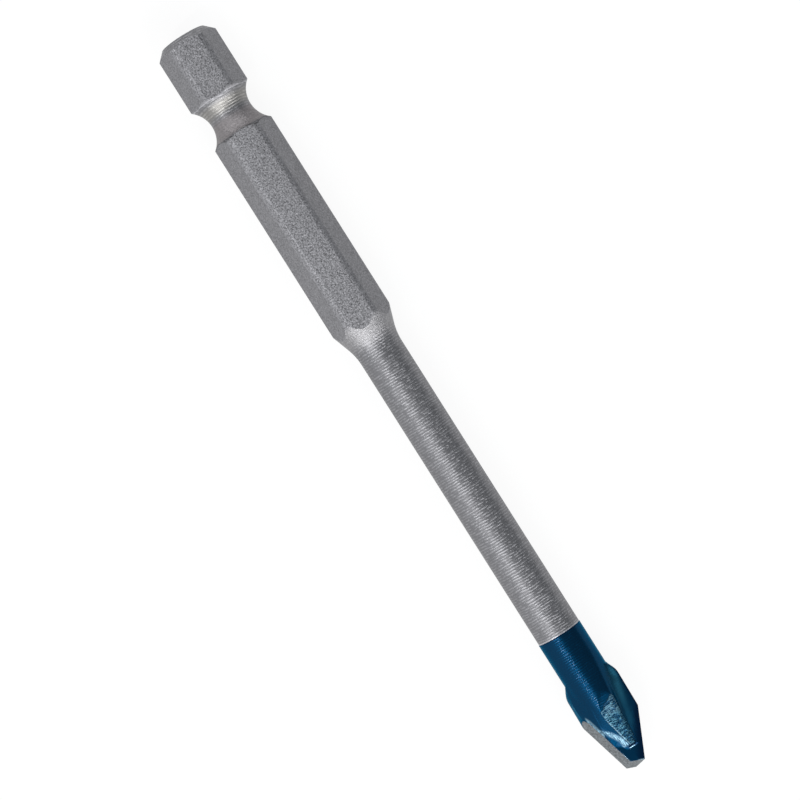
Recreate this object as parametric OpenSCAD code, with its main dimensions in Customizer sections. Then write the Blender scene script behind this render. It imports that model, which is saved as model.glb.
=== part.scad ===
// Glass and tile drill bit: a turned steel shank with a hex drive and a slotted end,
// and a ground carbide plate that is brazed across the slot.
// The bit lies along X with its point at +X and rests on one flat of the hex.

/* [Overall] */
// Length from the drive end to the point
overall_length = 90; // [80:0.5:140]

/* [Hex drive] */
// Width across the flats
hex_af = 6.3; // [6.1:0.01:6.5]
// Diameter that the six corners are turned to
hex_corner_d = 6.95; // [6.8:0.01:7.0]
// Length of the hex, measured along its corners
hex_length = 34.9; // [26:0.1:45]
// Size of the 45 degree chamfer on the drive end
end_chamfer = 0.9; // [0.3:0.05:1.2]
// Distance from the drive end to the middle of the detent groove
groove_x = 9.3; // [8:0.1:12]
// Diameter at the bottom of the detent groove
groove_d = 4.73; // [4.4:0.01:5.2]
// Radius of the groove's round section
groove_r = 2.92; // [2.2:0.01:3.5]

/* [Neck and stem] */
// Diameter of the round stem
stem_d = 4.95; // [4.5:0.01:5.5]
// Slope of the neck, from the axis
neck_angle = 18.5; // [12:0.5:30]
// Radius that blends the neck into the stem
neck_fillet_r = 6.5; // [2:0.1:8]

/* [Carbide plate] */
// Thickness of the plate
plate_t = 2; // [1.6:0.05:2.4]
// Length of the plate, from its back edge to the point
plate_length = 11.2; // [10.4:0.1:13]
// Width of the plate at its back shoulders
shoulder_w = 6.1; // [5.6:0.05:6.6]
// Distance from the axis to the leading corner of lip A, on the upper face
lip_reach_a = 2.95; // [2.8:0.01:3.2]
// Distance from the axis to the leading corner of lip B, on the lower face
lip_reach_b = 3.2; // [2.9:0.01:3.4]
// Relief of the plate's two sides
side_relief = 12; // [5:0.5:16]
// Length of the slanted corners at the back of the plate
back_corner = 1.1; // [0.5:0.05:1.8]
// Distance from the point back to the corner of lip A
lip_back_a = 5.85; // [5.4:0.05:6.4]
// Distance from the point back to the corner of lip B
lip_back_b = 6.4; // [5.8:0.05:6.8]
// Angle of lip A from the axis
lip_angle_a = 24.9; // [22:0.1:26]
// Angle of lip B from the axis
lip_angle_b = 15; // [13:0.1:17]
// Relief of the two flanks behind the lips
flank_relief = 24; // [16:0.5:26]
// Skew of the ground point across the plate
point_skew = 21.8; // [16:0.2:26]
// Relief of the ground point through the plate
point_relief = 25; // [18:0.5:28]

/* [Slot and cheeks] */
// Braze gap on each side of the plate and behind it
braze_gap = 0.06; // [0.04:0.01:0.12]
// Distance from the point back to the end of the cheeks
cheek_back = 2.88; // [2.6:0.02:3.2]
// Slope of the ramp on each cheek
ramp_angle = 10.3; // [9:0.1:12]
// Sideways tilt of the ramp towards the flute
ramp_roll = 9.9; // [6:0.1:12]
// Height of the end of the ramp over the plate
ramp_end_h = 0.35; // [0.2:0.05:0.5]
// Slope of each cheek's end face down to the plate
end_slope = 35; // [30:1:60]
// Sideways tilt of the trailing facet on each cheek
facet_tilt = 34.6; // [28:0.2:38]
// Turn of the trailing facet's foot, from the axis
facet_turn = 30.8; // [26:0.2:36]
// Distance from the axis to the facet's foot at the end of the cheek
facet_foot = 0.7; // [0.5:0.05:0.9]
// Radius of the flute in front of each lip, at the end of the cheek
flute_end_r = 0.63; // [0.5:0.01:0.9]
// Radius of the flute at the back of the plate
flute_back_r = 1.48; // [1.2:0.01:1.7]
// Angle of the flute from the axis
flute_angle = 13.5; // [12:0.1:16]
// Distance from the axis to the bottom of the flute at the end of the cheek
flute_offset = 1.26; // [1.1:0.01:1.35]
// Distance from the trailing edge of the plate to the cheek's wall
heel_land = 0.08; // [0.04:0.01:0.2]
// Angle on the stem where the fillet along each trailing seam ends
fillet_angle = 138; // [132:0.5:142]

/* [Hidden] */
$fn = 96;

stem_r = stem_d / 2;
corner_r = hex_corner_d / 2;
half_t = plate_t / 2;
slot_half = half_t + braze_gap;

// Where the working end's features lie along the axis
point_x = overall_length;
plate_back_x = point_x - plate_length;
slot_root_x = plate_back_x - braze_gap;
cheek_end_x = point_x - cheek_back;
shoulder_x = plate_back_x + back_corner;
lip_a_x = point_x - lip_back_a;
lip_b_x = point_x - lip_back_b;

// Neck: the cone from the hex corners, and the fillet that leaves it for the stem
neck_foot_x = hex_length + (corner_r - stem_r) / tan(neck_angle);
neck_end_x = neck_foot_x + neck_fillet_r * tan(neck_angle / 2);
neck_steps = 12;
neck_arc = [
  for (i = [0 : neck_steps])
    let (a = neck_angle * (1 - i / neck_steps))
      [stem_r + neck_fillet_r * (1 - cos(a)), neck_end_x - neck_fillet_r * sin(a)]
];

// Angle of each side of the plate from the axis, from its shoulder to its leading corner
side_angle_a = atan((shoulder_w / 2 - lip_reach_a) / (lip_a_x - shoulder_x));
side_angle_b = atan((shoulder_w / 2 - lip_reach_b) / (lip_b_x - shoulder_x));

// Slope of each flank's relief across the plate, in the plane of a cross section
flank_slope_a = tan(flank_relief) / cos(lip_angle_a);
flank_slope_b = tan(flank_relief) / cos(lip_angle_b);

// Distance from the axis to lip A at a place along the axis, on the upper face
function lip_a_y(x) = lip_reach_a - (x - lip_a_x) * tan(lip_angle_a);
// The same for the heel of lip B on the upper face, below zero on this side
function heel_y(x) = -lip_reach_b + (x - lip_b_x) * tan(lip_angle_b) + plate_t * flank_slope_b;

// The point is where flank A meets the lower face at the full length
point_y = lip_a_y(point_x) - plate_t * flank_slope_a;

// Flute: a cone whose lowest line lies on the plate
flute_length = cheek_end_x - plate_back_x;
flute_taper = atan((flute_back_r - flute_end_r) / flute_length);
flute_lead = flute_end_r / tan(flute_taper) / 2;

far = 4 * hex_corner_d;

// Stands a profile or section up along the X axis: its x becomes Y and its y becomes Z
module along_x() {
  rotate([90, 0, 90]) children();
}

// A block that fills everything beyond the plane x = 0, with its middle on the origin
module half_space() {
  translate([0, -far, -far]) cube([2 * far, 2 * far, 2 * far]);
}

// Puts the bit on its flat, with its middle over the origin
module lay_down() {
  translate([-overall_length / 2, 0, hex_af / 2]) children();
}

// Half section of the turned shank, radius across and length up
module turned_profile() {
  difference() {
    polygon(concat(
      [[0, 0], [corner_r - end_chamfer, 0], [corner_r, end_chamfer], [corner_r, hex_length]],
      neck_arc,
      [[stem_r, cheek_end_x + ramp_end_h], [0, cheek_end_x + ramp_end_h]]
    ));
    translate([groove_d / 2 + groove_r, groove_x]) circle(r = groove_r);
  }
}

// The six flats, as a prism as long as the bit
module hex_prism() {
  along_x() cylinder(d = hex_af / cos(30), h = overall_length, $fn = 6);
}

// The slot with its root, over the full width of the stem
module slot() {
  translate([slot_root_x, -far / 2, -slot_half]) cube([overall_length, far, 2 * slot_half]);
}

// Ramp that lowers the crest of a cheek towards the point
module ramp_cut() {
  translate([cheek_end_x, 0, half_t + ramp_end_h])
    rotate([-ramp_roll, 0, 0])
      rotate([0, ramp_angle - 90, 0]) half_space();
}

// Facet on the trailing side of a cheek, whose foot runs inwards to the cheek's end
module facet_cut() {
  translate([cheek_end_x, -facet_foot, half_t])
    rotate([0, 0, facet_turn])
      rotate([facet_tilt - 90, 0, 0])
        rotate([0, 0, -90]) half_space();
}

// Places a cut along the bottom of the flute in front of a lip
module along_flute() {
  translate([cheek_end_x, flute_offset, half_t]) rotate([0, 0, -flute_angle]) children();
}

// Round wall of the flute
module flute_cone() {
  along_flute()
    translate([-flute_end_r * sin(flute_taper), 0, flute_end_r * cos(flute_taper)])
      rotate([0, flute_taper - 90, 0])
        translate([0, 0, -flute_lead])
          cylinder(
            r1 = flute_end_r - flute_lead * tan(flute_taper),
            r2 = flute_end_r + far * tan(flute_taper),
            h = flute_lead + far
          );
}

// Open side of the flute, where the face of the plate lies bare
module flute_side() {
  along_flute() translate([-far, 0, 0]) cube([2 * far, far, far]);
}

// Slanted end of a cheek
module end_cut() {
  translate([cheek_end_x, 0, half_t + ramp_end_h]) rotate([0, end_slope - 90, 0]) half_space();
}

// Wall that keeps a cheek inside the trailing edge of the plate
module heel_cut() {
  translate([lip_b_x, heel_y(lip_b_x) + heel_land, 0])
    rotate([0, 0, lip_angle_b - 90]) half_space();
}

// Repeats a form of the upper cheek on the lower one, half a turn on
module on_both_cheeks() {
  for (turn = [0, 180]) rotate([turn, 0, 0]) children();
}

// Keeps the part of a cut that lies above the plate
module above_plate() {
  intersection() {
    children();
    translate([plate_back_x, -far, half_t]) cube([overall_length, 2 * far, far]);
  }
}

// Side of the plate behind the leading corner of lip A
module side_a_cut() {
  translate([shoulder_x, shoulder_w / 2, half_t])
    rotate([0, 0, 90 - side_angle_a])
      rotate([0, side_relief, 0]) half_space();
}

// Side of the plate behind the leading corner of lip B
module side_b_cut() {
  translate([shoulder_x, -shoulder_w / 2, -half_t])
    rotate([0, 0, side_angle_b - 90])
      rotate([0, -side_relief, 0]) half_space();
}

// Flank behind lip A, which leans back from the upper face
module flank_a_cut() {
  translate([lip_a_x, lip_reach_a, half_t])
    rotate([0, 0, 90 - lip_angle_a])
      rotate([0, flank_relief, 0]) half_space();
}

// Flank behind lip B, which leans back from the lower face
module flank_b_cut() {
  translate([lip_b_x, -lip_reach_b, -half_t])
    rotate([0, 0, lip_angle_b - 90])
      rotate([0, -flank_relief, 0]) half_space();
}

// Ground end of the point, skewed across the plate and relieved through it
module point_cut() {
  translate([point_x, point_y, -half_t])
    rotate([0, 0, -point_skew])
      rotate([0, -point_relief, 0]) half_space();
}

// Wedge that slants the back corners of the plate
module back_corner_cut() {
  translate([0, 0, -far]) linear_extrude(2 * far) for (side = [-1, 1]) polygon([
    [plate_back_x - back_corner, side * (2 * stem_r - shoulder_w / 2)],
    [shoulder_x, side * shoulder_w / 2],
    [shoulder_x, side * 2 * shoulder_w],
    [plate_back_x - back_corner, side * 2 * shoulder_w]
  ]);
}

// Fillet of filler metal along the trailing seam above the plate
module seam_fillet() {
  difference() {
    translate([plate_back_x, 0, 0]) along_x() linear_extrude(cheek_end_x - plate_back_x)
      polygon([
        [-shoulder_w / 2 + plate_t * tan(side_relief) + heel_land, half_t],
        [stem_r * cos(fillet_angle), stem_r * sin(fillet_angle)],
        [-stem_r / 2, half_t]
      ]);
    back_corner_cut();
    along_x() cylinder(r = stem_r, h = overall_length);
  }
}

// Turned steel body with the hex, the groove, the stem and the slotted end
module shank() {
  color("silver") lay_down() difference() {
    intersection() {
      along_x() rotate_extrude() turned_profile();
      hex_prism();
    }
    slot();
    on_both_cheeks() above_plate() union() {
      ramp_cut();
      facet_cut();
      union() {
        flute_cone();
        flute_side();
      }
      end_cut();
      heel_cut();
    }
  }
}

// Ground carbide plate
module carbide_tip() {
  color("slategray") lay_down() difference() {
    translate([plate_back_x, -shoulder_w, -half_t]) cube([plate_length, 2 * shoulder_w, plate_t]);
    back_corner_cut();
    side_a_cut();
    side_b_cut();
    flank_a_cut();
    flank_b_cut();
    point_cut();
  }
}

// Filler metal: the film in the slot and a fillet on each trailing seam
module braze() {
  color("goldenrod") lay_down() difference() {
    union() {
      intersection() {
        slot();
        along_x() cylinder(r = stem_r, h = cheek_end_x + ramp_end_h);
      }
      on_both_cheeks() seam_fillet();
    }
    translate([plate_back_x, -far, -half_t]) cube([overall_length, 2 * far, plate_t]);
    on_both_cheeks() above_plate() union() {
      facet_cut();
      flute_side();
      end_cut();
      heel_cut();
    }
  }
}

shank();
carbide_tip();
braze();
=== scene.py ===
import math

import bmesh
import bpy
import numpy as np
from bpy.props import FloatProperty, FloatVectorProperty, IntProperty, PointerProperty
from mathutils import Matrix, Vector


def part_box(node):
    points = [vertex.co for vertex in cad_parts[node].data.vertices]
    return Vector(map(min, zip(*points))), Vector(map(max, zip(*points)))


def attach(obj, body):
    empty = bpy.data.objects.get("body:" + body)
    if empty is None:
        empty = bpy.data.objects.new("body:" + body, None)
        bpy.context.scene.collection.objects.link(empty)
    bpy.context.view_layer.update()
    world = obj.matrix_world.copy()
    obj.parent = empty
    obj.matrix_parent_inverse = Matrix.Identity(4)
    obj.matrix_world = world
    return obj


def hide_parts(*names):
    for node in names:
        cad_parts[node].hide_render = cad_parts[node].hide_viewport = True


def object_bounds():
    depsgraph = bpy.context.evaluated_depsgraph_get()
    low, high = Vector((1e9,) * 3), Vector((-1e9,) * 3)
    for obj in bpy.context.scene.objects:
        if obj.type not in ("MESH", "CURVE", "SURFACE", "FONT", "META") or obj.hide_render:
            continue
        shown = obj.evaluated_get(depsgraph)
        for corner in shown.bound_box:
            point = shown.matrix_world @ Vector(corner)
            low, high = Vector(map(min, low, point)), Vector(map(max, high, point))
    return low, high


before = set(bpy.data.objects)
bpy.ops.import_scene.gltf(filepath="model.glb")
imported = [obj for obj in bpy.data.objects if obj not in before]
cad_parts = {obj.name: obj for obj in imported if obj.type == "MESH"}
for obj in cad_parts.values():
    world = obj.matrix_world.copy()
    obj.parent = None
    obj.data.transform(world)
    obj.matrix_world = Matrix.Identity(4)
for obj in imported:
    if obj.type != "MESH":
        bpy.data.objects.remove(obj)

bl_info = {
    "name": "Glass and tile drill bit",
    "version": (1, 0, 0),
    "blender": (4, 5, 0),
    "location": "View3D > Sidebar > Drill bit",
    "description": "Builds a hex drive drill bit with a lacquered end and a ground carbide plate",
    "category": "Add Mesh",
}

MM = 0.001

# Places in the frame
CAD_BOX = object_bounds()
SHANK_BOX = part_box("shank")
PLATE_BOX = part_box("carbide_tip")
DRIVE_X = SHANK_BOX[0].x
AXIS_Z = (SHANK_BOX[0].z + SHANK_BOX[1].z) / 2

# Fineness of the meshes
SPIN_WELD = 1e-7
FINE_WELD = 1e-8
GROOVE_STEPS = 28
NECK_STEPS = 12
CREASE_DEGREES = 14
HALVINGS = 40

# Shares of the lacquered skin, kept as attributes of its mesh
MARKS = ("ramp", "seam", "edge", "shade", "flute")

# Stage: each lamp's name, place, aim, width and height, and power
LAMPS = (
    ("left_box", (0.0, -0.62, 0.46), (0.0, 0.0, 0.46), (1.6, 0.92), 3.0),
    ("key_box", (0.05, -0.335, 0.72), (0.0, 0.0, 0.0), (0.5, 0.31), 0.36),
    ("key_spot", (0.24, -0.37, 0.72), (0.24, 0.0, 0.0), (0.02, 0.3), 1.3),
    ("tip_box", (0.62, -0.04, 0.42), (0.0, -0.04, 0.0), (1.46, 0.5), 6.6),
    ("drive_box", (-0.62, 0.0, 0.4), (0.0, 0.0, 0.0), (1.2, 0.5), 3.2),
    ("tip_spot", (0.55, -0.02, 0.58), (0.0, 0.0, 0.0), (0.1, 0.1), 0.6),
)
FLOOR_HALF = 1.5
CAMERA_PLACE = (-0.00087, -0.00103, 0.30705)
CAMERA_TURN = math.radians(57.67)
CAMERA_LENS = 130.5


# Sizes and colours


def length(name, description, default):
    """A length in millimetres as a property in metres."""
    return FloatProperty(
        name=name, description=description, default=default * MM, min=0.0, precision=5,
        unit="LENGTH",
    )


def angle(name, description, default):
    """An angle in degrees as a property in radians."""
    return FloatProperty(
        name=name, description=description, default=math.radians(default), precision=4,
        subtype="ANGLE",
    )


def colour(name, description, default):
    """A linear colour."""
    return FloatVectorProperty(
        name=name, description=description, default=default, size=3, min=0.0, max=1.0,
        subtype="COLOR",
    )


class ShankSizes(bpy.types.PropertyGroup):
    """Sizes of the turned and milled shank."""

    flats: length("Across flats", "Width of the hex across its flats", 6.3)
    corner_d: length("Corner diameter", "Diameter that the hex corners are turned to", 6.95)
    hex_length: length("Hex length", "Length of the hex along its corners", 34.9)
    corner_round: length("Corner round", "Rounding between the flats and the corners", 0.1)
    end_chamfer: length("End chamfer", "Size of the chamfer on the drive end", 0.9)
    groove_x: length("Groove place", "From the drive end to the middle of the groove", 9.45)
    groove_d: length("Groove diameter", "Diameter at the bottom of the groove", 4.73)
    groove_r: length("Groove radius", "Radius of the groove's section", 3.05)
    stem_d: length("Stem diameter", "Diameter of the round stem", 4.95)
    neck_angle: angle("Neck angle", "Slope of the neck from the axis", 18.5)
    neck_r: length("Neck radius", "Radius that blends the neck into the stem", 6.5)
    ring_pitch: length("Ring pitch", "Pitch of the feed marks on the stem", 0.29)
    ring_depth: length("Ring depth", "Depth of the feed marks on the stem", 0.004)
    steps: IntProperty(name="Steps", description="Steps of the spin", default=180, min=48, max=360)


class EndSizes(bpy.types.PropertyGroup):
    """Sizes of the lacquered end and the ground plate."""

    lacquer_x: length("Lacquer start", "From the drive end to the edge of the lacquer", 73.66)
    lacquer_t: length("Lacquer thickness", "Thickness of the lacquer on the stem", 0.01)
    plate_t: length("Plate thickness", "Thickness of the carbide plate", 2.0)
    shoulder_w: length("Shoulder width", "Width of the plate at its back shoulders", 6.1)
    lip_reach_a: length("Lip A reach", "From the axis to the corner of lip A", 2.95)
    lip_reach_b: length("Lip B reach", "From the axis to the corner of lip B", 3.23)
    gauge_b: length("Gauge B", "How far the shoulder by lip B stands out over the other", 0.08)
    side_relief: angle("Side relief", "Relief of the plate's sides", 12.0)
    back_corner: length("Back corner", "Length of the plate's slanted back corners", 1.1)
    lip_back_a: length("Lip A back", "From the point back to the corner of lip A", 5.69)
    lip_back_b: length("Lip B back", "From the point back to the corner of lip B", 6.4)
    lip_angle_a: angle("Lip A angle", "Angle of lip A from the axis", 24.9)
    lip_angle_b: angle("Lip B angle", "Angle of lip B from the axis", 15.0)
    flank_relief: angle("Flank relief", "Relief of the flanks behind the lips", 24.0)
    point_skew: angle("Point skew", "Skew of the ground point across the plate", 21.8)
    point_relief: angle("Point relief", "Relief of the ground point", 25.0)
    cheek_back: length("Cheek back", "From the point back to the end of the cheeks", 2.64)
    ramp_angle: angle("Ramp angle", "Slope of the ramp on each cheek", 10.3)
    ramp_roll: angle("Ramp roll", "Sideways tilt of the ramp", 9.9)
    ramp_end_h: length("Ramp end", "Height of the ramp's end over the plate", 0.35)
    end_slope: angle("End slope", "Slope of each cheek's end face", 53.0)
    facet_tilt: angle("Facet tilt", "Sideways tilt of the trailing facet", 34.6)
    facet_turn: angle("Facet turn", "Turn of the facet's foot from the axis", 30.8)
    facet_foot: length("Facet foot", "From the axis to the facet's foot at the cheek's end", 0.5)
    flute_end_r: length("Flute end radius", "Radius of the flute at the cheek's end", 0.63)
    flute_back_r: length("Flute back radius", "Radius of the flute at the plate's back", 1.48)
    flute_angle: angle("Flute angle", "Angle of the flute from the axis", 13.5)
    flute_offset: length("Flute offset", "From the axis to the flute at the cheek's end", 1.26)
    heel_land: length("Heel land", "From the plate's trailing edge to the cheek's wall", 0.04)
    ripple_pitch: length("Ripple pitch", "Pitch of the ripples under the lacquer", 0.27)
    ripple_depth: length("Ripple depth", "Depth of the ripples under the lacquer", 0.002)
    around: IntProperty(name="Around", description="Points round the end", default=240, min=96, max=480)
    step: length("Step", "Distance between sections along the end", 0.068)


class FinishColours(bpy.types.PropertyGroup):
    """Colours of the finishes."""

    blasted: colour("Blasted steel", "Steel of the blasted hex", (0.27, 0.268, 0.28))
    turned: colour("Turned steel", "Steel of the groove, neck and stem", (0.24, 0.239, 0.25))
    # The bright steel of the neck is a painted highlight, where the neck faces the lamps on the point's
    # side
    neck: colour("Bright steel", "Freshly turned steel of the neck", (0.315, 0.311, 0.32))
    warm: colour("Warm steel", "Lit side of the groove", (0.36, 0.345, 0.31))
    dull: colour("Dull steel", "Shaded side of the groove", (0.25, 0.235, 0.24))
    lacquer: colour("Lacquer", "Petrol blue lacquer", (0.0, 0.034, 0.086))
    shade: colour("Shaded lacquer", "Lacquer beside the lips", (0.0, 0.012, 0.042))
    # Painted highlight: the pale colour of the wrinkle crests on the ramps
    pale: colour("Pale lacquer", "Lacquer over the wrinkled ramps", (0.07, 0.2, 0.28))
    # Painted reflection: the grey-blue sheen in the flutes
    haze: colour("Hazy lacquer", "Lacquer in the flutes", (0.014, 0.1, 0.165))
    # Painted highlight: the bright colour of the seams and edges, where light catches the rounded lacquer
    worn: colour("Worn lacquer", "Lacquer over seams and edges", (0.22, 0.38, 0.48))
    carbide: colour("Ground carbide", "Bare carbide of the ground flanks", (0.155, 0.17, 0.18))
    floor: colour("Floor", "Floor that the bit lies on", (0.95, 0.95, 0.95))


# Shader maths


class Value:
    """A socket of a finish. Arithmetic on it adds Math nodes."""

    def __init__(self, finish, socket):
        self.finish = finish
        self.socket = socket

    def math(self, operation, *others):
        """Adds a Math node with this value first."""
        inputs = dict(enumerate((self, *others)))
        return self.finish.node("ShaderNodeMath", inputs, operation=operation)

    def __add__(self, other):
        return self.math("ADD", other)

    __radd__ = __add__

    def __sub__(self, other):
        return self.math("SUBTRACT", other)

    def __rsub__(self, other):
        return self.math("MULTIPLY_ADD", -1.0, other)

    def __mul__(self, other):
        return self.math("MULTIPLY", other)

    __rmul__ = __mul__

    def __abs__(self):
        return self.math("ABSOLUTE")

    def sine(self):
        return self.math("SINE")

    def root(self):
        return self.math("SQRT")

    def step(self, low, high):
        """0 below low, 1 above high, smooth between."""
        return self.finish.node(
            "ShaderNodeMapRange",
            {"Value": self, "From Min": low, "From Max": high},
            interpolation_type="SMOOTHSTEP",
        )

    def window(self, rise, risen, fall, fallen):
        """1 from risen to fall, 0 before rise and after fallen, smooth between."""
        return self.step(rise, risen) * (1 - self.step(fall, fallen))


class Finish:
    """A material of the bit, or the world, whose nodes are made one call each."""

    def __init__(self, owner):
        owner.use_nodes = True
        self.owner = owner
        self.tree = owner.node_tree
        self.tree.nodes.clear()

    def node(self, kind, inputs=None, out=0, stops=(), **settings):
        """Adds a node: its settings, the greys of its ramp, then values or links of its sockets."""
        made = self.tree.nodes.new(kind)
        for key, value in settings.items():
            setattr(made, key, value)
        if stops:
            ramp = made.color_ramp
            while len(ramp.elements) < len(stops):
                ramp.elements.new(1.0)
            for element, (place, grey) in zip(ramp.elements, stops):
                element.position = place
                element.color = (grey, grey, grey, 1.0)
        for key, value in (inputs or {}).items():
            socket = made.inputs[key]
            if isinstance(value, Value):
                self.tree.links.new(value.socket, socket)
            elif socket.type == "RGBA" and len(value) == 3:
                socket.default_value = (*value, 1.0)
            else:
                socket.default_value = value
        return Value(self, made.outputs[out])

    def place(self):
        """The Object coordinates in millimetres."""
        at = self.node("ShaderNodeTexCoord", out="Object")
        return self.node("ShaderNodeVectorMath", {0: at, "Scale": 1.0 / MM}, operation="SCALE")

    def part(self, at, axis):
        """One part of the coordinates, by the name of its axis."""
        return self.node("ShaderNodeSeparateXYZ", {0: at}, out=axis)

    def stretched(self, at, scale):
        """The coordinates with each part scaled."""
        return self.node("ShaderNodeVectorMath", {0: at, 1: scale}, operation="MULTIPLY")

    def noise(self, at, scale, detail=2.0, rough=0.5):
        """A noise, from 0 to 1."""
        return self.node(
            "ShaderNodeTexNoise",
            {"Vector": at, "Scale": scale, "Detail": detail, "Roughness": rough},
        )

    def mix(self, factor, first, second, blend="MIX"):
        """A mix of two colours."""
        return self.node(
            "ShaderNodeMix", {0: factor, 6: first, 7: second}, out=2,
            data_type="RGBA", blend_type=blend,
        )

    def bump(self, height, depth, normal=None):
        """A bump whose height of one is a depth in millimetres."""
        inputs = {"Height": height, "Strength": 1.0, "Distance": depth * MM}
        if normal:
            inputs["Normal"] = normal
        return self.node("ShaderNodeBump", inputs)

    def principled(self, inputs):
        return self.node("ShaderNodeBsdfPrincipled", inputs)

    def surface(self, shader):
        """Puts a shader on the surface, and gives back the material or the world."""
        kind = "ShaderNodeOutputMaterial"
        if isinstance(self.owner, bpy.types.World):
            kind = "ShaderNodeOutputWorld"
        output = self.tree.nodes.new(kind)
        self.tree.links.new(shader.socket, output.inputs["Surface"])
        return self.owner


def new_finish(name):
    return Finish(bpy.data.materials.new(name))


# Finishes


def turned_rings(f, at, pitch):
    """Heights of the tool's rings, wavy and broken into short dashes."""
    sway = f.noise(at, 0.6)
    turn = f.part(at, "X") * (2 * math.pi / pitch) + sway * 7
    ring = turn.sine() * 0.5 + 0.5
    breaks = f.noise(f.stretched(at, (3.4, 1.9, 1.9)), 1.0, rough=0.6)
    return ring * (0.15 + 0.85 * breaks.step(0.36, 0.62))


def blasted_steel(sizes, colours):
    """Blasted steel: a bright and dark grain, with burrs by the groove and the neck painted bright as
    highlights, a painted shadow by the groove, and a painted highlight beside the hex corners of the lit
    side.
    """
    f = new_finish("blasted_steel")
    at = f.place()
    x, y, z = (f.part(at, axis) for axis in "XYZ")
    flat_r, corner_r, groove_r = (v / MM for v in (sizes.flats / 2, sizes.corner_d / 2, sizes.groove_r))
    up = z - AXIS_Z / MM
    out = (y * y + up * up).root()
    grain = f.noise(at, 6.0, rough=0.6)
    cloud = f.noise(at, 0.7)
    coarse = 0.55 + 0.45 * abs(up).step(flat_r - 0.25, flat_r - 0.05)

    # A burr on the groove's edge by the drive end, painted bright as a highlight and faint at the corners,
    # and a painted shadow on the other edge
    below = groove_r + sizes.groove_d / 2 / MM - out
    reach = (groove_r ** 2 - below * below).root()
    along = x - (DRIVE_X + sizes.groove_x) / MM
    after = along.step(-0.1, 0.1)
    burr_highlight = (1 - after) * (1 - (0 - along - reach).step(0.03, 0.13))
    burr_highlight = burr_highlight * (1 - 0.8 * out.step(corner_r - 0.275, corner_r - 0.075))
    shadow = after * (1 - (along - reach).step(0.03, 0.17))

    # A burr on the neck's edge painted bright as a highlight, and a painted highlight beside the corners
    # of the lit side
    cone = (corner_r - out) * (1 / math.tan(sizes.neck_angle))
    neck = 1 - (cone + (DRIVE_X + sizes.hex_length) / MM - x).step(0.0, 0.1)
    # Painted highlight: a bright line beside the hex corners on the side that the lamps light
    ridge_highlight = out.window(corner_r - 0.135, corner_r - 0.065, corner_r - 0.025, corner_r - 0.005)
    ridge_highlight = ridge_highlight * y.window(-1.85, -1.7, -1.5, -1.2)

    tone = 1 + (grain - 0.5) * coarse * 3.0 + burr_highlight * 0.8 - shadow * 0.4 + neck * 0.35 + ridge_highlight * 0.4
    return f.surface(f.principled({
        "Base Color": f.mix(1.0, colours.blasted, tone, "MULTIPLY"),
        "Metallic": 1.0,
        "Roughness": 0.5 + 0.14 * cloud,
        "Normal": f.bump(grain * coarse, 0.04),
    }))


def turned_steel(sizes, end, colours):
    """Turned steel: broken rings, a grainy neck and groove, and a bright rim by the lacquer."""
    f = new_finish("turned_steel")
    at = f.place()
    along = f.part(at, "X") - DRIVE_X / MM
    groove_x, hex_end, lacquer_x = (v / MM for v in (sizes.groove_x, sizes.hex_length, end.lacquer_x))
    hex_middle = 20.0
    grain = f.noise(at, 5.0, 3.0, 0.7)
    neck = along.window(hex_end - 0.3, hex_end + 0.5, hex_end + 1.6, hex_end + 3.4)
    dull = along.window(groove_x - 0.3, groove_x + 0.5, hex_middle, hex_middle + 1.0)
    lit = along.window(groove_x - 2.0, groove_x - 1.3, groove_x - 0.9, groove_x)
    rim = along.step(lacquer_x - 0.18, lacquer_x - 0.1)
    plain = (neck + dull).math("MINIMUM", 1.0)
    rings = turned_rings(f, at, sizes.ring_pitch / MM) * (1 - plain * 0.85)
    tone = 1 + (rings + grain * (0.35 + plain * 0.5) - 0.45) * (0.5 + plain * 0.5) + rim * 0.9
    # Painted highlight: the neck gets a brighter steel
    steel = f.mix(neck, colours.turned, colours.neck)
    steel = f.mix(lit * 0.5, steel, colours.warm)
    steel = f.mix(dull, steel, colours.dull)
    return f.surface(f.principled({
        "Base Color": f.mix(1.0, steel, tone, "MULTIPLY"),
        "Metallic": 1.0,
        "Roughness": 0.39 + 0.1 * grain,
        "Normal": f.bump(rings + grain * (0.35 + plain * 2.6), 0.024),
    }))


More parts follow.
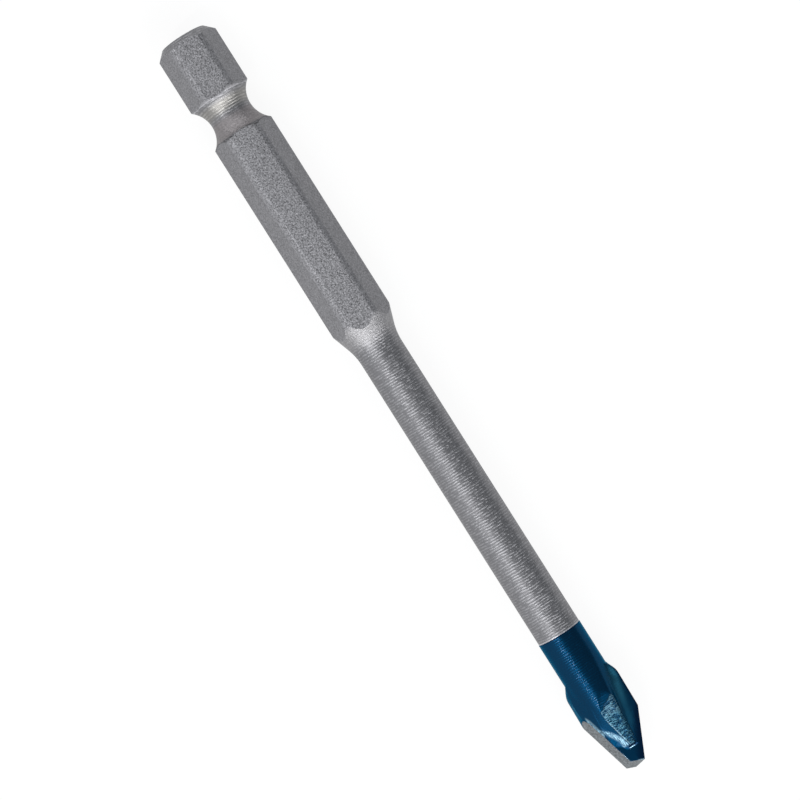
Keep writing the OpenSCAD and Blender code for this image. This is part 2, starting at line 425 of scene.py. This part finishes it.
def petrol_lacquer(end, colours):
    """Petrol blue lacquer, wrinkled on the ramps with painted highlights on the wrinkle crests, painted
    bright on seams and edges as highlights, under a clear film.
    """
    f = new_finish("petrol_lacquer")
    at = f.place()
    y = f.part(at, "Y")
    from_point = f.part(at, "X") - CAD_BOX[1].x / MM
    ramp, seam, edge, shade, flute = (
        f.node("ShaderNodeAttribute", out="Fac", attribute_name=name) for name in MARKS
    )
    wrinkle = f.noise(f.stretched(at, (2.6, 0.7, 0.8)), 1.3, rough=0.6)
    wrinkle = 1 - abs(wrinkle * 2 - 1) * 3.2
    grain = f.noise(f.stretched(at, (2.0, 4.5, 4.5)), 1.4, rough=0.6)
    on_ramp = (ramp * 1.4 + f.noise(at, 1.3) - 0.7).step(0.2, 0.7)

    # Colour, from the body of the lacquer to the painted highlights on seams and edges
    # The pale wrinkle crests and the crown line along the ramp's top are painted highlights
    pale = on_ramp * (0.06 + 0.94 * wrinkle.step(0.5, 1.0))
    crown_highlight = on_ramp * (1 - from_point.step(-6.8, -6.1)) * wrinkle.step(0.2, 0.7)
    worn = seam * (0.3 + 0.75 * grain.step(0.4, 0.58)) + edge + crown_highlight * 0.25
    body = f.mix(pale, colours.lacquer, colours.pale)
    # Painted reflection in the flute
    body = f.mix(flute, body, colours.haze)
    body = f.mix(shade, body, colours.shade)
    body = f.mix(worn.math("MINIMUM", 1.0), body, colours.worn)

    # Relief: rings that fade to the point and are weaker on one side, then wrinkles and the seam's grain
    rings = turned_rings(f, at, end.ripple_pitch / MM) * (1 - on_ramp)
    rings = rings * (1 - from_point.step(-12.0, -5.5)) * (1 - 0.5 * y.step(-0.3, 0.5))
    normal = f.bump(rings, 0.017)
    normal = f.bump(wrinkle * on_ramp + grain * seam, 0.06, normal)

    paint = f.principled({
        "Base Color": body,
        "Metallic": 1.0,
        "Roughness": 0.33 + 0.05 * on_ramp + 0.18 * flute,
        "Specular Tint": (0.35, 0.72, 0.95),
        "Coat Weight": 0.6 * edge,
        "Coat Roughness": 0.12,
        "Normal": normal,
    })
    film = f.principled({
        "Base Color": (1.0, 1.0, 1.0), "Metallic": 1.0, "Roughness": 0.12, "Normal": normal,
    })
    film_share = 0.006
    return f.surface(f.node("ShaderNodeMixShader", {0: film_share, 1: paint, 2: film}))


def ground_carbide(colours):
    """Bare ground carbide: a fine neutral grain with faint grinding lines."""
    f = new_finish("ground_carbide")
    at = f.place()
    grain = f.noise(at, 5.5, 3.0, 0.7)
    lines = f.noise(f.stretched(at, (4.5, 4.5, 0.6)), 1.0)
    tone = f.node(
        "ShaderNodeValToRGB", {0: grain * 0.6 + lines * 0.4},
        stops=((0.36, 0.45), (0.5, 1.0), (0.64, 1.55)),
    )
    return f.surface(f.principled({
        "Base Color": f.mix(1.0, colours.carbide, tone, "MULTIPLY"),
        "Metallic": 0.7,
        "Roughness": 0.45 + 0.1 * grain,
        "Normal": f.bump(lines * 0.5 + grain * 0.5, 0.012),
    }))


def pale_floor(colours):
    """A floor that is white to the camera and greyer in the bit's reflections."""
    f = new_finish("pale_floor")
    camera, glossy, transmission = (
        f.node("ShaderNodeLightPath", out=f"Is {ray} Ray")
        for ray in ("Camera", "Glossy", "Transmission")
    )
    glow_share = camera * 0.9 + (glossy + transmission) * 0.6
    glow = f.mix(camera, (0.66, 0.66, 0.66), (1.0, 1.0, 1.0))
    matte = f.node("ShaderNodeBsdfDiffuse", {"Color": colours.floor})
    white = f.node("ShaderNodeEmission", {"Color": glow, "Strength": 1.0})
    return f.surface(f.node("ShaderNodeMixShader", {0: glow_share, 1: matte, 2: white}))


# Meshes


def mesh_object(bm, name, finishes):
    """Makes the object of a mesh, with its finishes, in the scene."""
    mesh = bpy.data.meshes.new(name)
    bm.to_mesh(mesh)
    bm.free()
    for finish in finishes:
        mesh.materials.append(finish)
    made = bpy.data.objects.new(name, mesh)
    bpy.context.scene.collection.objects.link(made)
    return made


def finished_piece(bm, name, finishes, body, nodes):
    """Makes a piece of the bit, hangs it on its body, and hides the parts of the frame that it stands for.
    """
    piece = mesh_object(bm, name, finishes)
    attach(piece, body)
    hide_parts(*nodes)


def on_axis(x, y=0.0, z=0.0):
    """A place on the bit, from the drive end and the axis, in the frame."""
    return Vector((DRIVE_X + x, y, AXIS_Z + z))


def cut_flat(bm, place, normal):
    """Cuts away what lies beyond a plane, and closes the cut with the second finish."""
    bmesh.ops.bisect_plane(
        bm, geom=bm.verts[:] + bm.edges[:] + bm.faces[:], dist=FINE_WELD,
        plane_co=place, plane_no=normal, clear_outer=True,
    )
    rim = [e for e in bm.edges if e.is_boundary]
    for face in bmesh.ops.holes_fill(bm, edges=rim, sides=0)["faces"]:
        face.material_index = 1
        face.smooth = False


def crease(bm, limit):
    """Shades the mesh smooth, with its edges sharp beyond an angle in degrees."""
    for face in bm.faces:
        face.smooth = True
    for edge in bm.edges:
        edge.smooth = not edge.is_manifold or edge.calc_face_angle(0.0) < math.radians(limit)


def ring_share(turn):
    """How deep one feed mark is, as a share of the deepest: no two are alike."""
    return 0.55 + 0.3 * math.sin(2.4 * turn) * math.sin(0.37 * turn) + 0.15 * math.sin(5.1 * turn)


def turned_profile(s, end_x):
    """Half section of the turned shank, as points along the axis and out from it."""
    corner_r, stem_r = s.corner_d / 2, s.stem_d / 2
    points = [(0.0, 0.0), (0.0, corner_r - s.end_chamfer), (s.end_chamfer, corner_r)]
    middle_r = s.groove_d / 2 + s.groove_r
    half = math.acos((middle_r - corner_r) / s.groove_r)
    for i in range(GROOVE_STEPS + 1):
        a = half * (2 * i / GROOVE_STEPS - 1)
        points.append((s.groove_x + s.groove_r * math.sin(a), middle_r - s.groove_r * math.cos(a)))
    points.append((s.hex_length, corner_r))
    slope = s.neck_angle
    foot = s.hex_length + (corner_r - stem_r) / math.tan(slope)
    neck_end = foot + s.neck_r * math.tan(slope / 2)
    for i in range(NECK_STEPS + 1):
        a = slope * (1 - i / NECK_STEPS)
        points.append((neck_end - s.neck_r * math.sin(a), stem_r + s.neck_r * (1 - math.cos(a))))
    rings = int((end_x - neck_end) / s.ring_pitch)
    pitch = (end_x - neck_end) / rings
    for i in range(rings):
        points.append((neck_end + (i + 0.55) * pitch, stem_r - s.ring_depth * ring_share(i)))
        points.append((neck_end + (i + 1) * pitch, stem_r))
    points.append((end_x, 0.0))
    return points


def is_hex_corner(edge, s, axis):
    """Tells the long edges between the flats and the turned corners."""
    shortest = 1.0 * MM
    first, second = (v.co - axis for v in edge.verts)
    if abs(first.x - second.x) < shortest or max(first.x, second.x) > s.hex_length + shortest:
        return False
    return sorted(f.material_index for f in edge.link_faces) == [0, 1]


def steel_shank_mesh(s, end_x):
    """The turned shank, with six flats cut on its hex and the corners between them rounded."""
    axis = on_axis(0.0)
    bm = bmesh.new()
    profile = [bm.verts.new(on_axis(x, r)) for x, r in turned_profile(s, end_x)]
    for first, second in zip(profile, profile[1:]):
        bm.edges.new((first, second))
    bmesh.ops.spin(
        bm, geom=bm.verts[:] + bm.edges[:], cent=axis, axis=(1, 0, 0),
        angle=2 * math.pi, steps=s.steps, use_merge=True,
    )
    bmesh.ops.remove_doubles(bm, verts=bm.verts[:], dist=SPIN_WELD)
    bmesh.ops.recalc_face_normals(bm, faces=bm.faces[:])
    for side in range(6):
        a = math.radians(30 + 60 * side)
        out = Vector((0.0, math.cos(a), math.sin(a)))
        cut_flat(bm, axis + out * s.flats / 2, out)
    bmesh.ops.recalc_face_normals(bm, faces=bm.faces[:])
    corners = [e for e in bm.edges if is_hex_corner(e, s, axis)]
    bmesh.ops.bevel(
        bm, geom=corners, offset=s.corner_round, offset_type="OFFSET", affect="EDGES",
        segments=3, profile=0.5, material=-1,
    )
    for face in bm.faces:
        middle = face.calc_center_median() - axis
        if math.hypot(middle.y, middle.z) > s.flats / 2 and middle.x < s.hex_length:
            face.material_index = 1
    bmesh.ops.recalc_face_normals(bm, faces=bm.faces[:])
    crease(bm, CREASE_DEGREES)
    return bm


# Form of the lacquered end


def joined(first, second, radius):
    """The union of two forms, with a fillet in the corner between them."""
    h = np.clip(0.5 + 0.5 * (second - first) / radius, 0.0, 1.0)
    return second + (first - second) * h - radius * h * (1 - h)


def shared(first, second, radius):
    """What two forms share, with the edge between them rounded."""
    return -joined(-first, -second, radius)


def smooth(low, high, v):
    """0 at low, 1 at high, smooth between."""
    t = np.clip((v - low) / (high - low), 0.0, 1.0)
    return t * t * (3 - 2 * t)


def window(rise, risen, fall, fallen, v):
    """1 from risen to fall, 0 before rise and after fallen, smooth between."""
    return smooth(rise, risen, v) * (1 - smooth(fall, fallen, v))


class EndForm:
    """The lacquered end before grinding, as distances in millimetres that are negative inside."""

    def __init__(self, shank, end, point_x):
        for group in (shank, end):
            for key in group.__annotations__:
                value = getattr(group, key)
                kind = group.bl_rna.properties[key]
                is_length = getattr(kind, "unit", "NONE") == "LENGTH"
                setattr(self, key, value / MM if is_length else value)
        self.point_x = point_x / MM
        self.stem_r = self.stem_d / 2
        self.half_t = self.plate_t / 2
        self.plate_back = (PLATE_BOX[0].x - DRIVE_X) / MM
        self.shoulder_x = self.plate_back + self.back_corner
        self.cheek_end = self.point_x - self.cheek_back
        self.lip_a = Vector((self.point_x - self.lip_back_a, self.lip_reach_a, self.half_t))
        self.lip_b = Vector((self.point_x - self.lip_back_b, -self.lip_reach_b, -self.half_t))
        self.set_planes()

    def set_planes(self):
        """The planes of the cheeks, the plate and the grinding, each as a place and a normal."""
        def turned(normal, *turns):
            for axis, a in turns:
                normal = Matrix.Rotation(a, 3, axis) @ normal
            return normal

        quarter = math.pi / 2
        ahead = Vector((1, 0, 0))
        crest = Vector((self.cheek_end, 0, self.half_t + self.ramp_end_h))
        foot = Vector((self.cheek_end, -self.facet_foot, self.half_t))
        shoulder_a = Vector((self.shoulder_x, self.shoulder_w / 2, self.half_t))
        shoulder_b = Vector((self.shoulder_x, -self.shoulder_w / 2 - self.gauge_b, -self.half_t))
        side_a = math.atan2(shoulder_a.y - self.lip_a.y, self.lip_a.x - self.shoulder_x)
        side_b = math.atan2(self.lip_b.y - shoulder_b.y, self.lip_b.x - self.shoulder_x)
        lean_a = math.tan(self.flank_relief) / math.cos(self.lip_angle_a)
        lean_b = math.tan(self.flank_relief) / math.cos(self.lip_angle_b)
        heel = self.lip_b + Vector((0, self.plate_t * lean_b + self.heel_land, 0))
        point_y = self.lip_a.y - self.lip_back_a * math.tan(self.lip_angle_a) - self.plate_t * lean_a
        self.ramp = crest, turned(ahead, ("Y", self.ramp_angle - quarter), ("X", -self.ramp_roll))
        self.end = crest, turned(ahead, ("Y", self.end_slope - quarter))
        self.facet = foot, turned(
            ahead, ("Z", -quarter), ("X", self.facet_tilt - quarter), ("Z", self.facet_turn)
        )
        self.heel = heel, turned(ahead, ("Z", self.lip_angle_b - quarter))
        self.side_a = shoulder_a, turned(ahead, ("Y", self.side_relief), ("Z", quarter - side_a))
        self.side_b = shoulder_b, turned(ahead, ("Y", -self.side_relief), ("Z", side_b - quarter))
        self.flank_a = self.lip_a, turned(
            ahead, ("Y", self.flank_relief), ("Z", quarter - self.lip_angle_a)
        )
        self.flank_b = self.lip_b, turned(
            ahead, ("Y", -self.flank_relief), ("Z", self.lip_angle_b - quarter)
        )
        self.tip = Vector((self.point_x, point_y, -self.half_t)), turned(
            ahead, ("Y", -self.point_relief), ("Z", -self.point_skew)
        )

    @staticmethod
    def beyond(plane, x, y, z):
        """Distance beyond a plane."""
        place, normal = plane
        return (x - place.x) * normal.x + (y - place.y) * normal.y + (z - place.z) * normal.z

    def flute(self, x, y, z):
        """Distance into the flute: its round wall and its open side."""
        taper = math.atan((self.flute_back_r - self.flute_end_r) / (self.cheek_end - self.plate_back))
        c, s = math.cos(self.flute_angle), math.sin(self.flute_angle)
        dx, dy, up = x - self.cheek_end, y - self.flute_offset, z - self.half_t
        along, across = dx * c - dy * s, dx * s + dy * c
        qx = along + self.flute_end_r * math.sin(taper)
        qz = up - self.flute_end_r * math.cos(taper)
        back = -qx * math.cos(taper) + qz * math.sin(taper)
        rise = qx * math.sin(taper) + qz * math.cos(taper)
        wall = self.flute_end_r + back * math.tan(taper) - np.hypot(across, rise)
        return np.maximum(wall * math.cos(taper), across)

    def cheek(self, x, y, z):
        """The steel cheek over the upper face of the plate."""
        form = np.hypot(y, z) - self.stem_r
        form = shared(form, self.beyond(self.facet, x, y, z), 0.4)
        form = shared(form, self.beyond(self.ramp, x, y, z), 0.06)
        form = shared(form, self.flute(x, y, z), 0.5)
        form = shared(form, self.beyond(self.end, x, y, z), 0.05)
        form = shared(form, self.beyond(self.heel, x, y, z), 0.06)
        return np.maximum(form, -z)

    def seam(self, x, y, z, side):
        """The filler metal along the trailing seam, from the stem to the side of the plate."""
        edge_y = -self.shoulder_w / 2 + self.plate_t * math.tan(self.side_relief) + self.heel_land
        reach = math.hypot(edge_y, self.half_t)
        a = math.atan2(self.half_t, edge_y) - math.acos(self.stem_r / reach)
        slope = y * math.cos(a) + z * math.sin(a) - self.stem_r
        form = shared(slope, side, 1.2)
        form = np.maximum(form, 0.4 - z)
        form = np.maximum(form, y - self.stem_r * math.cos(a) - 0.2)
        for plane in (self.facet, self.heel, self.end):
            form = shared(form, self.beyond(plane, x, y, z), 0.3)
        return np.maximum(form, self.back(x, y))

    def back(self, x, y):
        """Distance beyond the slanted back corners of the plate."""
        dy = self.stem_r * 2 - self.shoulder_w
        run = math.hypot(2 * self.back_corner, dy)
        across = (np.abs(y) - self.shoulder_w / 2) * 2 * self.back_corner
        return (across + (x - self.shoulder_x) * dy) / run

    def plate(self, x, y, z):
        """The plate before grinding: crisp along its lips and rounded along its heels."""
        upper = shared(z - self.half_t, self.beyond(self.side_b, x, y, z), 1.4)
        lower = shared(-z - self.half_t, self.beyond(self.side_a, x, y, z), 1.2)
        form = np.maximum(shared(upper, lower, 0.05), self.plate_back - x)
        return shared(form, self.back(x, y), 0.22)

    def whole(self, x, y, z):
        """The plate with a cheek and a seam on each face, trimmed along the flanks and sides."""
        form = self.plate(x, y, z)
        past = smooth(self.shoulder_x, self.shoulder_x + 1.2, x)
        lead = past * (1 - smooth(self.cheek_end - 5.0, self.cheek_end + 0.5, x))
        trail = past * (1 - smooth(self.cheek_end - 0.9, self.cheek_end, x))
        trailing = ((1, self.side_b, self.flank_b), (-1, self.side_a, self.flank_a))
        for sign, side, flank in trailing:
            v, w = y * sign, z * sign
            turn = smooth(0.4, -0.4, v)
            fillet = 0.13 + 0.5 * lead * (1 - turn) + 0.4 * trail * turn
            seam = self.seam(x, v, w, self.beyond(side, x, y, z))
            half = joined(self.cheek(x, v, w), seam, 0.04)
            form = joined(form, half, fillet)
            over = w - self.half_t
            wall = self.beyond(flank, x, y, z) + 0.03 + 0.5 * over
            form = np.maximum(form, np.minimum(over, wall))
        for side in (self.side_a, self.side_b):
            form = np.maximum(form, self.beyond(side, x, y, z))
        return form

    def radius(self, x, turn):
        """How far the form reaches from the axis, at places along it and angles round it."""
        low, high = np.full(x.shape, 0.1), np.full(x.shape, 4.5)
        c, s = np.cos(turn), np.sin(turn)
        for _ in range(HALVINGS):
            middle = (low + high) / 2
            inside = self.whole(x, middle * c, middle * s) < 0
            low, high = np.where(inside, middle, low), np.where(inside, high, middle)
        return (low + high) / 2

    def ripple(self, x, turn):
        """The turned ripples that show through the lacquer, fading towards the point."""
        phase = x * 2 * math.pi / self.ripple_pitch
        wave = np.sin(phase + 0.9 * np.sin(3 * turn + 0.8 * x) + 0.5 * np.sin(7 * turn - 1.7 * x))
        uneven = 0.6 + 0.4 * np.sin(1.9 * x + 2 * turn) * np.sin(5 * turn + 0.6 * x)
        fade = 1 - 0.8 * smooth(self.plate_back - 0.6, self.plate_back + 1.5, x)
        fade = fade * window(0.05, 0.3, 8.34, 11.34, x - self.lacquer_x)
        return self.ripple_depth * wave * uneven * fade

    def skin(self, x, turn):
        """The outer radius, with the lacquer's thickness and its rounded edge."""
        film = smooth(0.0, 0.09, x - self.lacquer_x) ** 0.5
        film = film * (1 - smooth(self.plate_back - 0.8, self.plate_back + 0.4, x))
        return self.radius(x, turn) + film * self.lacquer_t + self.ripple(x, turn)


class EndMarks:
    """Shares of the skin, from 0 to 1, that the lacquer shows in their own way."""

    def __init__(self, form, x, y, z):
        """Takes places on the skin. v and w are those places turned onto the upper half."""
        sign = np.sign(z)
        self.form, self.x, self.y, self.z = form, x, y, z
        self.v, self.w = y * sign, np.abs(z)
        self.upper = sign > 0
        self.from_end = x - form.cheek_end
        self.over = smooth(form.half_t + 0.02, form.half_t + 0.2, self.w)
        self.wall = self.near(form.end, 0.03, 0.08) * smooth(0.02, 0.1, self.w - form.half_t)

    def near(self, plane, low, high):
        """1 on a plane of the upper half, fading to 0 between two distances from it."""
        return 1 - smooth(low, high, np.abs(self.form.beyond(plane, self.x, self.v, self.w)))

    def beyond(self, upper, lower):
        """Distance beyond one plane on the upper half and another on the lower half."""
        place = self.x, self.y, self.z
        return np.where(self.upper, self.form.beyond(upper, *place), self.form.beyond(lower, *place))

    def ramp(self):
        """The ramp of the cheek, which fades further on the flute's side."""
        fade = np.where(self.v > 0.2, 0.38, 0.13)
        start = smooth(-0.9, 0.7, self.from_end + 4.9 + 0.5 * self.v)
        return self.over * self.near(self.form.ramp, 0.01, fade) * start

    def seam(self):
        """The seam between the plate and the cheek's trailing side, painted bright as a highlight, wider
        towards the point.
        """
        place = self.x, self.v, self.w
        gap = np.abs(self.form.cheek(*place) - self.form.plate(*place))
        reach = 0.1 + 0.5 * smooth(-3.8, -1.8, self.from_end)
        seam = (1 - smooth(0.5, 1.0, gap / reach)) * (1 - smooth(-0.25, 0.0, self.v))
        seam = seam * (1 - smooth(0.02, 0.09, self.form.beyond(self.form.facet, *place)))
        return seam * window(-4.9, -4.3, -0.12, 0.02, self.from_end)

    def edge(self):
        """Bright edges painted as highlights: the ramp's ridge, both edges of the cheek's end, and the
        ground ones.
        """
        form, v, w, from_end = self.form, self.v, self.w, self.from_end
        flank = self.beyond(form.flank_b, form.flank_a)
        on_face = w > 0.9
        # Painted highlight along the ramp's ridge
        ridge_highlight = self.over * self.near(form.ramp, 0.01, 0.045) * self.near(form.facet, 0.01, 0.07)
        ridge_highlight = ridge_highlight * smooth(-4.0, -3.6, from_end)
        rim = self.wall * self.near(form.ramp, 0.02, 0.06) * smooth(0.2, 0.35, np.abs(v))
        glint = (1 - smooth(0.0, 0.06, w - form.half_t)) * self.near(form.end, 0.03, 0.12)
        glint = glint * window(-0.24, -0.1, 0.4, 0.5, v) * (from_end > 0.2)
        heel = window(0.02, 0.07, 0.1, 0.18, -flank) * on_face
        heel = heel * window(-5.0, -4.6, -3.4, -2.6, from_end)
        ground = (1 - smooth(0.02, 0.08, np.abs(flank))) * smooth(0.2, 0.6, from_end) * on_face
        tip = self.near(form.tip, 0.03, 0.1) * smooth(-0.2, 0.1, v) * self.upper
        edge = 0.7 * ridge_highlight + 0.2 * rim + glint + 0.6 * heel + 0.4 * ground + 0.7 * tip
        return np.clip(edge, 0.0, 1.0)

    def shade(self):
        """The dark skin beside the lips, on the cheek's end and where the lacquer starts."""
        form = self.form
        lip = self.beyond(form.flank_a, form.flank_b)
        gauge = self.beyond(form.side_a, form.side_b)
        band = 0.45 + 0.7 * smooth(-4.0, -1.0, self.from_end)
        beside = 1 - smooth(0.08, band, np.minimum(-lip, 0.1 - gauge))
        beside = beside * (self.v > 0) * (self.w > 0.5)
        start = 1 - smooth(0.04, 0.2, self.x - form.lacquer_x)
        return np.clip(beside + self.wall + 0.7 * start, 0.0, 1.0)

    def flute(self):
        """A painted reflection in the flute, which nears the axis towards the point."""
        aside = self.v - 1.0 + 0.216 * self.from_end
        width = np.where(aside < 0, 0.6, 0.42)
        haze = window(-9.5, -7.3, -2.6, -0.2, self.from_end) * (self.v > 0)
        haze = haze * (1 - 0.55 * smooth(-5.4, -3.4, self.from_end))
        return haze * np.exp(-((aside / width) ** 2))

    def shares(self):
        """Every mark by its name."""
        return {name: getattr(self, name)() for name in MARKS}


def spread_turns(form, count):
    """Angles round the end, closer together at the corners of the plate."""
    fine = np.linspace(0, 2 * math.pi, 7200, endpoint=False)
    corner = math.atan2(form.half_t, form.shoulder_w / 2)
    crowding, spread = 3.0, 0.05
    weight = np.ones_like(fine)
    for at in (corner, math.pi - corner, math.pi + corner, -corner):
        gap = np.angle(np.exp(1j * (fine - at)))
        weight += crowding * np.exp(-((gap / spread) ** 2))
    total = np.cumsum(weight)
    return np.interp(np.arange(count) / count * total[-1], total, fine)


def lacquered_end_mesh(form):
    """A tube of sections round the axis, shaped by the form and then ground at the point."""
    grinding_spare = 0.4
    reach_x = form.point_x + grinding_spare
    sections = int((reach_x - form.lacquer_x) / form.step) + 1
    places = np.linspace(form.lacquer_x, reach_x, sections)
    turns = spread_turns(form, form.around)
    x, turn = np.meshgrid(places, turns, indexing="ij")
    reach = form.skin(x, turn)
    y, z = reach * np.cos(turn), reach * np.sin(turn)
    marks = EndMarks(form, x, y, z).shares()
    bm = bmesh.new()
    layers = {name: bm.verts.layers.float.new(name) for name in marks}
    bmesh.ops.create_grid(bm, x_segments=sections - 1, y_segments=form.around, size=1.0)
    for vert in bm.verts:
        i = round((vert.co.x + 1) / 2 * (sections - 1))
        j = round((vert.co.y + 1) / 2 * form.around) % form.around
        vert.co = on_axis(x[i, j] * MM, y[i, j] * MM, z[i, j] * MM)
        for name, layer in layers.items():
            vert[layer] = marks[name][i, j]
    bmesh.ops.remove_doubles(bm, verts=bm.verts[:], dist=FINE_WELD)
    bmesh.ops.holes_fill(bm, edges=[e for e in bm.edges if e.is_boundary], sides=0)
    bmesh.ops.recalc_face_normals(bm, faces=bm.faces[:])
    for face in bm.faces:
        face.smooth = True
    for place, normal in (form.flank_a, form.flank_b, form.tip):
        cut_flat(bm, on_axis(*(place * MM)), normal)
    bmesh.ops.recalc_face_normals(bm, faces=bm.faces[:])
    return bm


# Operators


class DRILLBIT_OT_steel_shank(bpy.types.Operator):
    """Spin the turned shank and cut the six flats of its hex"""

    bl_idname = "drillbit.steel_shank"
    bl_label = "Steel shank"

    def execute(self, context):
        scene = context.scene
        sizes, end, colours = scene.bit_shank, scene.bit_end, scene.bit_colours
        bm = steel_shank_mesh(sizes, end.lacquer_x)
        if not bm.faces:
            raise RuntimeError("the shank has no faces")
        finishes = [turned_steel(sizes, end, colours), blasted_steel(sizes, colours)]
        finished_piece(bm, "steel_shank", finishes, "root", ["shank"])
        return {"FINISHED"}


class DRILLBIT_OT_lacquered_end(bpy.types.Operator):
    """Shape the lacquered end over its plate and cheeks, and grind its point"""

    bl_idname = "drillbit.lacquered_end"
    bl_label = "Lacquered end"

    def execute(self, context):
        scene = context.scene
        end, colours = scene.bit_end, scene.bit_colours
        point_x = CAD_BOX[1].x - CAD_BOX[0].x
        bm = lacquered_end_mesh(EndForm(scene.bit_shank, end, point_x))
        if not any(face.material_index for face in bm.faces):
            raise RuntimeError("the point was not ground")
        finishes = [petrol_lacquer(end, colours), ground_carbide(colours)]
        finished_piece(
            bm, "lacquered_end", finishes, "root", ["carbide_tip", "braze"]
        )
        return {"FINISHED"}


def soft_lamp(name, place, aim, size, power):
    """A soft lamp, as wide and as high as its size, that shines from a place to an aim."""
    lamp = bpy.data.lights.new(name, "AREA")
    lamp.shape = "RECTANGLE"
    lamp.size, lamp.size_y = size
    lamp.energy = power
    box = bpy.data.objects.new(name, lamp)
    box.location = place
    box.rotation_euler = (Vector(aim) - Vector(place)).to_track_quat("-Z", "Y").to_euler()
    bpy.context.scene.collection.objects.link(box)


class DRILLBIT_OT_stage(bpy.types.Operator):
    """Lay the floor, hang the lamps and set the camera over the bit"""

    bl_idname = "drillbit.stage"
    bl_label = "Stage"

    def execute(self, context):
        scene = context.scene
        bm = bmesh.new()
        bmesh.ops.create_grid(bm, x_segments=1, y_segments=1, size=FLOOR_HALF)
        floor = mesh_object(bm, "floor", [pale_floor(scene.bit_colours)])
        scene.world = bpy.data.worlds.new("studio")
        sky = Finish(scene.world)
        sky.surface(sky.node("ShaderNodeBackground", {"Color": (0.9, 0.95, 1.0), "Strength": 0.3}))
        for lamp in LAMPS:
            soft_lamp(*lamp)
        lens = bpy.data.cameras.new("camera")
        lens.sensor_width = 36.0
        lens.lens = CAMERA_LENS
        lens.clip_start = 0.01
        camera = bpy.data.objects.new("camera", lens)
        camera.location = CAMERA_PLACE
        camera.rotation_euler = (0.0, 0.0, CAMERA_TURN)
        scene.collection.objects.link(camera)
        scene.camera = camera
        scene.view_settings.view_transform = "Standard"
        return {"FINISHED"}


class DRILLBIT_PT_panel(bpy.types.Panel):
    """Sizes and steps of the drill bit"""

    bl_idname = "DRILLBIT_PT_panel"
    bl_label = "Drill bit"
    bl_space_type = "VIEW_3D"
    bl_region_type = "UI"
    bl_category = "Drill bit"

    def draw(self, context):
        scene = context.scene
        for operator in OPERATORS:
            self.layout.operator(operator.bl_idname)
        for group in (scene.bit_shank, scene.bit_end, scene.bit_colours):
            column = self.layout.column(align=True)
            for key in group.__annotations__:
                column.prop(group, key)


GROUPS = {"bit_shank": ShankSizes, "bit_end": EndSizes, "bit_colours": FinishColours}
OPERATORS = (DRILLBIT_OT_steel_shank, DRILLBIT_OT_lacquered_end, DRILLBIT_OT_stage)
CLASSES = (*GROUPS.values(), *OPERATORS, DRILLBIT_PT_panel)


def register():
    for cls in CLASSES:
        bpy.utils.register_class(cls)
    for key, group in GROUPS.items():
        setattr(bpy.types.Scene, key, PointerProperty(type=group))


def unregister():
    for key in GROUPS:
        delattr(bpy.types.Scene, key)
    for cls in reversed(CLASSES):
        bpy.utils.unregister_class(cls)


def main():
    register()
    bpy.ops.drillbit.steel_shank()
    bpy.ops.drillbit.lacquered_end()
    bpy.ops.drillbit.stage()


if __name__ == "__main__":
    main()
